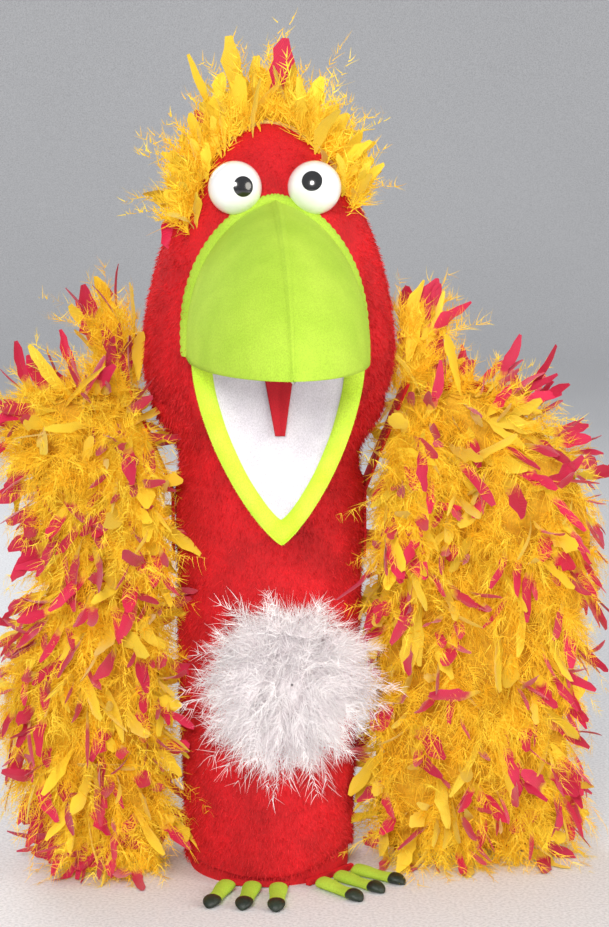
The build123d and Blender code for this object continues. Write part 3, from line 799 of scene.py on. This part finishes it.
def vanes(name, roots, directions, facings, lengths, widths, dyed, curl, material, rng):
    """Flat feathers: a quill down the middle, a ragged edge, a shallow V and a curl towards facing."""
    count, stations = len(roots), 9
    t = np.linspace(0, 1, stations)
    side = unit(np.cross(directions, facings))
    lift = unit(np.cross(side, directions))
    shape = np.array([0.10, 0.42, 0.66, 0.82, 0.93, 1.0, 0.98, 0.80, 0.34])
    ragged = np.clip(1 + 0.20 * rng.normal(size=(count, stations, 2)), 0.35, 1.5)
    arc = (curl[:, None] * t[None] ** 2)[..., None] * lift[:, None]
    sway = (0.12 * rng.normal(size=count)[:, None] * t[None] ** 2)[..., None] * side[:, None]
    quill = roots[:, None] + lengths[:, None, None] * (directions[:, None] * t[None, :, None] + arc + sway)
    half = 0.5 * widths[:, None] * shape[None]
    raised = (0.35 * half)[..., None] * lift[:, None]
    left = quill - (half * ragged[..., 0])[..., None] * side[:, None] + raised
    right = quill + (half * ragged[..., 1])[..., None] * side[:, None] + raised
    points = np.stack([left, quill, right], 2)
    points = within_reach(points)
    points[..., 2] = np.maximum(points[..., 2], FEATHER_FLOOR)
    one = grid_faces(stations, 3)
    faces = (one[None] + (np.arange(count) * stations * 3)[:, None, None]).reshape(-1, 4)
    obj = mesh_object(name, points, faces, material)
    full = (count, stations, 3)
    along = np.broadcast_to(t[None, :, None], full)
    point_attribute(obj, "along", along)
    point_attribute(obj, "across", np.broadcast_to(np.array([-1.0, 0.0, 1.0]), full))
    point_attribute(obj, "dye", np.where(dyed[:, None, None], along, 0.0))
    point_attribute(obj, "shade", np.broadcast_to(rng.random(count)[:, None, None], full))
    return obj


def plumes(name, roots, directions, lengths, barbs, barb_length, width, material, rng, droop=0.3):
    """Downy feathers: fine barbs on both sides of a curved quill."""
    count = len(roots)
    t = np.linspace(0.05, 1, barbs)[None] + 0.02 * rng.normal(size=(count, barbs))
    bend = 0.45 * rng.normal(size=(count, 3)) + np.array([0, 0, -droop])
    quill = roots[:, None] + lengths[:, None, None] * (
        directions[:, None] * t[..., None] + bend[:, None] * (t**2)[..., None])
    side = unit(np.cross(directions, rng.normal(size=(count, 3))))
    hand = np.where(np.arange(barbs) % 2, 1.0, -1.0)[None, :, None]
    scatter = 0.35 * rng.normal(size=(count, barbs, 3))
    out = unit(0.75 * hand * side[:, None] + 0.65 * directions[:, None] + scatter)
    reach = barb_length * (1.05 - 0.55 * t) * rng.uniform(0.6, 1.25, (count, barbs))
    bends = (0.4 * directions[:, None] + 0.25 * rng.normal(size=(count, barbs, 3))
             + np.array([0, 0, -0.6 * droop]))
    strips, quads = ribbons(quill.reshape(-1, 3), out.reshape(-1, 3), reach.ravel(),
                            np.full(count * barbs, width), bends.reshape(-1, 3), 3, rng)
    strips = within_reach(strips)
    strips[..., 2] = np.maximum(strips[..., 2], FEATHER_FLOOR)
    obj = mesh_object(name, strips, quads, material)
    tone = np.clip(rng.random(count)[:, None] + 0.25 * rng.normal(size=(count, barbs)), 0, 1)
    point_attribute(obj, "shade", np.repeat(tone.ravel(), 8))
    return obj


def core_object(name, node, shrink, material):
    """The soft solid's own outline drawn in and roughened: what shows between the feathers."""
    source = NODES[node]
    core = bpy.data.objects.new(name, source.data.copy())
    bpy.context.scene.collection.objects.link(core)
    core.data.materials.clear()
    core.data.materials.append(material)
    remesh = core.modifiers.new("even", "REMESH")
    remesh.mode = "VOXEL"
    remesh.voxel_size = 4 * MM
    applied = bpy.data.meshes.new_from_object(core.evaluated_get(bpy.context.evaluated_depsgraph_get()))
    core.modifiers.clear()
    core.data = applied
    count = len(applied.vertices)
    places, normals = np.empty(count * 3), np.empty(count * 3)
    applied.vertices.foreach_get("co", places)
    applied.vertices.foreach_get("normal", normals)
    places, normals = places.reshape(-1, 3), normals.reshape(-1, 3)
    lumps = np.sin(places @ np.array([210, 150, 170]) + 1) * np.sin(places @ np.array([-130, 190, 240]))
    places = places - normals * (shrink + 2.5 * MM * lumps)[:, None]
    applied.vertices.foreach_set("co", places.ravel())
    applied.update()
    for face in applied.polygons:
        face.use_smooth = True
    return core


def wing_directions(points, normals, rng, side, sign):
    """Feathers stand off the wing and hang down it; those next to the body turn out past its edge."""
    height = np.clip((points[:, 2] - 0.31) / 0.09, 0, 1)[:, None]
    foot = np.clip((0.05 - points[:, 2]) / 0.05, 0, 1)[:, None]
    fall = np.array([0, 0, -0.6]) * (1 - height) * (1 - foot) + height * np.array([0.5 * side, 0, 0.45])
    fall = fall + foot * np.array([0.25 * side, 0, 0.2])
    inward = np.clip(-side * normals[:, 0] * 1.4, 0, 1)[:, None]
    outer = 0.8 * normals + fall
    inner = 0.55 * normals + np.array([0, 0.85 * sign, -0.25])
    return unit(outer * (1 - inward) + inner * inward + 0.42 * rng.normal(size=points.shape))


def make_wing(name, side, seed):
    body = f"{name}_wing"
    for face, sign in (("front", -1), ("rear", 1)):
        rng = np.random.default_rng(SEED + seed + (0 if face == "front" else 500))
        node = f"{name}_wing_{face}_feathers"

        def outside(places, normals, sign=sign):
            return (normals[:, 1] * sign > -0.6) & (np.abs(places[:, 1]) > 2 * MM)

        core = core_object(f"{name}_wing_{face}_core", node, 10 * MM, GOLD_CORE)
        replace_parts(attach(core, body), node)

        count = 620 if face == "front" else 520
        roots, normals = surface_samples(NODES[node], count, rng, outside)
        directions = wing_directions(roots, normals, rng, side, sign)
        down = plumes(f"{name}_wing_{face}_down", roots - 10 * MM * normals, directions,
                      rng.uniform(24, 38, count) * MM, *WING_DOWN, GOLD_DOWN, rng)
        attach(down, body)

        count = 300 if face == "front" else 240
        roots, normals = surface_samples(NODES[node], count, rng, outside)
        directions = wing_directions(roots, normals, rng, side, sign)
        facings = unit(normals + 0.9 * rng.normal(size=roots.shape))
        edge = np.clip(side * normals[:, 0] + 0.25, 0, 1)
        dyed = rng.random(count) < 0.55 + 0.42 * edge
        tips = vanes(f"{name}_wing_{face}_vanes", roots - 9 * MM * normals, directions, facings,
                     rng.uniform(32, 56, count) * MM, rng.uniform(6, 13, count) * MM, dyed,
                     rng.normal(0.05, 0.28, count), FEATHER, rng)
        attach(tips, body)


def make_shoulder(name, side, seed):
    """The boa's ends, sewn over the shoulder strip beside the head; they stay with the body."""
    rng = np.random.default_rng(SEED + seed)
    for label, count in (("down", 420), ("vanes", 120)):
        share = rng.random(count)
        ahead = rng.random(count) < 0.45
        z = np.where(ahead, 0.255 + 0.105 * share, 0.300 + 0.135 * share)
        y = np.where(ahead, rng.uniform(-0.050, -0.024, count), rng.uniform(-0.010, 0.048, count))
        x = side * (0.092 + 0.013 * share + 0.032 * rng.random(count) - np.where(ahead, 0.010, 0))
        roots = np.stack([x, y, z], -1)
        rise = np.clip((z - 0.345) / 0.05, 0, 1)[:, None]
        aim = rise * np.array([0.24 * side, 0.05, 1.0]) + (1 - rise) * np.array([-0.05 * side, -0.55, -0.6])
        directions = unit(aim + 0.34 * rng.normal(size=(count, 3)))
        least = np.where(ahead, -0.25, 0.08)
        directions[:, 0] = side * np.maximum(side * directions[:, 0], least)
        piece_name = f"{name}_shoulder_{label}"
        if label == "down":
            piece = plumes(piece_name, roots, directions, rng.uniform(20, 34, count) * MM, *WING_DOWN,
                           GOLD_DOWN, rng, 0.1)
        else:
            facings = unit(np.array([0, -1.0, 0.3]) + 0.7 * rng.normal(size=(count, 3)))
            piece = vanes(piece_name, roots, directions, facings, rng.uniform(30, 54, count) * MM,
                          rng.uniform(6, 13, count) * MM, rng.random(count) < 0.66,
                          rng.normal(0, 0.25, count), FEATHER, rng)
        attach(piece, "body")


def on_head(points):
    """The place on the head's surface that lies along the ray from the head's middle to each point."""
    middle = PIVOT + np.array([0, -0.010, 0.115])
    c, s = math.cos(HEAD_LEAN), math.sin(HEAD_LEAN)
    rays = unit(points - middle)
    near, far = np.zeros(len(points)), np.full(len(points), 0.3)
    for _ in range(30):
        reach = (near + far) / 2
        local = middle + rays * reach[:, None] - PIVOT
        y, u = local[:, 1] * c + local[:, 2] * s, -local[:, 1] * s + local[:, 2] * c
        inside = (np.hypot(local[:, 0], y) < head_radius(u)) & (u < HEAD_RIM + HEAD_HEIGHT)
        near, far = np.where(inside, reach, near), np.where(inside, far, reach)
    return middle + rays * near[:, None], rays


def crest_line():
    """The boa's line over the brow, an upturned V on the head's front, as 200 places."""
    legs = smooth_outline(((-60, 0, 510), (-56, 0, 532), (-45, 0, 554), (-28, 0, 571), (-6, 0, 584),
                           (14, 0, 579), (34, 0, 563), (50, 0, 543), (60, 0, 522)), 200) * MM
    legs[:, 1] = [head_front(x, z) for x, z in legs[:, [0, 2]]]
    return legs


def crest_roots(count, rng):
    """Places along the boa and back over the crown, with 0 to 1 up the V."""
    legs = crest_line()[rng.integers(0, 200, count)]
    height = np.clip((legs[:, 2] - 0.510) / 0.074, 0, 1)
    back = rng.random(count) ** 1.2
    legs[:, 1] += 66 * MM * back * (0.45 + 0.55 * height)
    legs[:, 2] += 14 * MM * back * height
    legs += 4 * MM * rng.normal(size=(count, 3))
    places, outward = on_head(legs)
    return places, outward, height


def make_crest_cord():
    """The boa's cord: a thin twisted tube that follows the crest's line, a little behind it."""
    line, _ = on_head(crest_line() + np.array([0, 14 * MM, 3 * MM]))
    ahead = unit(np.gradient(line, axis=0))
    side = unit(np.cross(ahead, [0, 1.0, 0]))
    up = np.cross(side, ahead)
    turns = np.linspace(0, 2 * np.pi, 16, endpoint=False)[None, :, None]
    twist = 1 + 0.12 * np.cos(2 * turns + np.linspace(0, 90, len(line))[:, None, None])
    ring = 2.2 * MM * twist * (np.cos(turns) * side[:, None] + np.sin(turns) * up[:, None])
    cord = grid_object("crest_cord", line[:, None] + ring, CORD, wrap=True)
    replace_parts(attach(cord, "head"), "crest_boa_cord")


def crest_directions(outward, height, spread, rng):
    """Crest feathers stand out from the head, and more upright the higher they are rooted."""
    lift = (0.2 + 0.9 * height)[:, None] * np.array([0, 0, 1.0])
    return unit(outward + lift + spread * rng.normal(size=outward.shape))


def make_crest():
    """The boa sewn over the crown in an upturned V, and the long feathers at its top."""
    make_crest_cord()
    rng = np.random.default_rng(SEED + 77)
    count = 300
    roots, outward, height = crest_roots(count, rng)
    directions = crest_directions(outward, height, 0.36, rng)
    lengths = (14 + 24 * height + 9 * rng.random(count)) * MM
    down = plumes("crest_down", roots, directions, lengths, 40, 13 * MM, 0.8 * MM, GOLD_DOWN, rng, 0.1)
    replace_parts(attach(down, "head"), "crest_feathers")

    count = 110
    roots, outward, height = crest_roots(count, rng)
    directions = crest_directions(outward, height, 0.42, rng)
    facings = unit(np.array([0, -1.0, 0.2]) + 0.6 * rng.normal(size=(count, 3)))
    lengths = (18 + 20 * height + 10 * rng.random(count)) * MM
    tufts = vanes("crest_vanes", roots, directions, facings, lengths, rng.uniform(6, 11, count) * MM,
                  rng.random(count) < 0.04, rng.normal(0.0, 0.3, count), FEATHER, rng)
    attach(tufts, "head")

    # root and tip in millimetres, width, and whether it is dyed: the feathers that stand clear of the tuft
    tall = (((-22, -20, 586), (-32, -24, 655), 14, 0), ((2, -22, 588), (9, -30, 654), 15, 1),
            ((-34, -16, 578), (-62, -14, 640), 6, 0), ((-34, -20, 580), (-50, -24, 622), 12, 0),
            ((24, -20, 580), (38, -26, 624), 12, 0), ((10, -10, 588), (24, -8, 636), 11, 0),
            ((-60, -26, 530), (-84, -34, 500), 20, 1), ((-58, -22, 536), (-86, -28, 526), 14, 0),
            ((50, -24, 546), (66, -30, 540), 11, 0), ((-6, 20, 588), (-12, 30, 640), 12, 0),
            ((-54, -22, 548), (-76, -28, 560), 12, 0), ((44, -24, 560), (60, -24, 578), 11, 0))
    roots, tips = (np.array([row[index] for row in tall], float) * MM for index in (0, 1))
    reach = tips - roots
    lengths = np.linalg.norm(reach, axis=1)
    count = len(tall)
    long_ones = vanes("crest_tall_vanes", roots, unit(reach), np.tile([0.15, -1.0, 0.1], (count, 1)), lengths,
                      np.array([row[2] for row in tall]) * MM, np.array([bool(row[3]) for row in tall]),
                      rng.normal(0.0, 0.14, count), FEATHER, rng)
    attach(long_ones, "head")


def make_belly():
    """A puff of white marabou: barbs spread outwards from the patch's middle."""
    rng = np.random.default_rng(SEED + 88)
    low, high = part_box("belly_feathers")
    centre = (np.array(low) + np.array(high)) / 2
    count = 430
    reach = BELLY_REACH * np.sqrt(rng.random(count))
    turn = rng.uniform(0, 2 * np.pi, count)
    x = centre[0] + reach * np.cos(turn)
    z = centre[2] + reach * np.sin(turn)
    flat = (reach / BELLY_REACH)[:, None]
    surface = -np.sqrt(np.maximum(body_radius(z) ** 2 - x**2, 0.0004))
    roots = np.stack([x, surface - (3 + 12 * (1 - flat[:, 0] ** 2) * rng.random(count)) * MM, z], -1)
    normal = unit(np.stack([x, surface, np.zeros(count)], -1))
    radial = np.stack([np.cos(turn), np.zeros(count), np.sin(turn)], -1)
    directions = unit(radial * (0.75 + 0.5 * flat) + normal * (0.55 - 0.2 * flat) + np.array([-0.15, 0, -0.3])
                      + 0.28 * rng.normal(size=(count, 3)))
    down = plumes("belly_down", roots, directions, rng.uniform(14, 27, count) * MM, 52, 16 * MM, 0.5 * MM,
                  WHITE_DOWN, rng, 0.2)
    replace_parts(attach(down, "body"), "belly_feathers")
    rows = []
    turns = np.linspace(0, 2 * np.pi, 72, endpoint=False)
    for share in np.linspace(0.02, 1, 26):
        x = centre[0] + BELLY_CORE_REACH * share * np.cos(turns)
        z = centre[2] + BELLY_CORE_REACH * share * np.sin(turns)
        swell = 9 * MM * (1 - share**2) * (1 + 0.25 * np.sin(5 * turns + 9 * share) * share)
        rows.append(np.stack([x, -np.sqrt(body_radius(z) ** 2 - x**2) - 1.7 * MM - swell, z], -1))
    core = grid_object("belly_core", np.array(rows), WHITE_CORE, wrap=True, flip=True)
    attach(core, "body")


# ---------------------------------------------------------------- feet

def make_feet():
    toe_length, claw_length, spacing, spread = 38 * MM, 11 * MM, 20 * MM, math.radians(7)
    turns = {"left": math.radians(-14), "right": math.radians(43)}
    for name, turn in turns.items():
        pivot = np.array(JOINTS[f"{name}_foot_lift"]["pos_m"])
        toes, claws = [], []
        for place in (-1, 0, 1):
            aim = turn + place * spread
            ahead = np.array([math.sin(aim), -math.cos(aim), 0])
            beside = np.array([math.cos(turn), math.sin(turn), 0])
            side = np.array([math.cos(aim), math.sin(aim), 0])
            root = pivot + beside * spacing * place
            root[2] = 4.6 * MM
            toes.append(toe_points(root, ahead, side, 0.0, toe_length, toe_length + claw_length))
            claws.append(toe_points(root, ahead, side, toe_length - 1 * MM, toe_length + claw_length,
                                    toe_length + claw_length, 0.25 * MM))
        for label, parts, material, slot in (("toes", toes, LIME_FELT, "lime_felt"),
                                             ("claws", claws, CLAW_PAINT, "claw_black")):
            piece = join_grids(f"{name}_foot_{label}", parts, material)
            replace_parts(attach(piece, f"{name}_foot"), f"{name}_{label}")
            if label == "toes":
                pile = felt_fuzz(piece, f"{name}_foot_fuzz", 2600, LIME_PILE, 9, 1.0 * MM)
                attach(pile, f"{name}_foot")


def toe_points(root, ahead, side, start, end, length, outset=0.0):
    """A plump tapering toe lying on the floor, as a grid that closes round it."""
    turns = np.linspace(0, 2 * np.pi, 28, endpoint=False)
    rows = []
    for share in np.linspace(0, 1, 26):
        reach = start + (end - start) * share
        along = reach / length
        closing = max(1e-3, 1 - max(0.0, (along - 0.78) / 0.22) ** 2.2) ** 0.5
        swell = (0.92 + 0.08 * math.sin(along * 9)) * closing * (1 - 0.10 * along)
        if start == 0.0:
            swell *= min(1.0, 0.55 + 0.45 * (share / 0.08))
        half_width, half_height = 7.4 * MM * swell + outset, 4.3 * MM * swell + outset
        middle = root + ahead * reach + np.array([0, 0, -0.15 * MM - (4.2 * MM - half_height) * 0.9])
        rows.append(middle + half_width * np.cos(turns)[:, None] * side
                    + half_height * np.sin(turns)[:, None] * np.array([0, 0, 1.0]))
    grid = np.array(rows)
    grid[..., 2] = np.maximum(grid[..., 2], 0.15 * MM)
    return grid


def join_grids(name, grids, material):
    """One object from several closed-round grids, each with its ends shut by a fan."""
    points, faces, base = [], [], 0
    for grid in grids:
        rows, columns = grid.shape[:2]
        quads = grid_faces(rows, columns, True)
        points.append(grid.reshape(-1, 3))
        faces.append(quads + base)
        for row, ends in ((0, grid[0].mean(0)), (rows - 1, grid[-1].mean(0))):
            points.append(ends[None])
            hub = base + rows * columns + (0 if row == 0 else 1)
            ring = base + row * columns + np.arange(columns)
            after = np.roll(ring, -1)
            faces.append(np.stack([ring, after, np.full(columns, hub), np.full(columns, hub)], -1))
        base += rows * columns + 2
    quads = np.concatenate(faces)
    mesh = bpy.data.meshes.new(name)
    listed = [tuple(dict.fromkeys(face)) for face in quads.tolist()]
    mesh.from_pydata(np.concatenate(points).tolist(), [], listed)
    mesh.materials.append(material)
    for face in mesh.polygons:
        face.use_smooth = True
    obj = bpy.data.objects.new(name, mesh)
    bpy.context.scene.collection.objects.link(obj)
    return obj


# ---------------------------------------------------------------- carried-over CAD nodes

CARRIED = {
    "hem_band": RED_PLUSH, "sleeve_lining": LINING, "body_foam_liner": FOAM, "belly_backing": WHITE_FELT,
    "left_shoulder_tab": RED_PLUSH, "right_shoulder_tab": RED_PLUSH, "left_foot_tab": RED_PLUSH,
    "right_foot_tab": RED_PLUSH, "neck_foam_ring": FOAM, "head_foam": FOAM,
    "upper_mouth_board": BOARD, "upper_mouth_lining": WHITE_FELT, "finger_strap": ELASTIC,
    "mouth_hinge_cord": CORD, "jaw_foam": FOAM, "lower_mouth_board": BOARD,
    "thumb_strap": ELASTIC, "left_wing_panel": RED_PLUSH, "right_wing_panel": RED_PLUSH,
    "left_wing_boa_cord": CORD, "right_wing_boa_cord": CORD,
}


def dress_cad_nodes():
    for node, material in CARRIED.items():
        data = NODES[node].data
        data.materials.clear()
        data.materials.append(material)


make_camera()
make_stage()
make_body()
make_head()
make_upper_beak()
make_jaw()
make_eyes()
make_wing("left", -1, 100)
make_wing("right", 1, 200)
make_shoulder("left", -1, 300)
make_shoulder("right", 1, 400)
make_crest()
make_belly()
make_feet()
dress_cad_nodes()
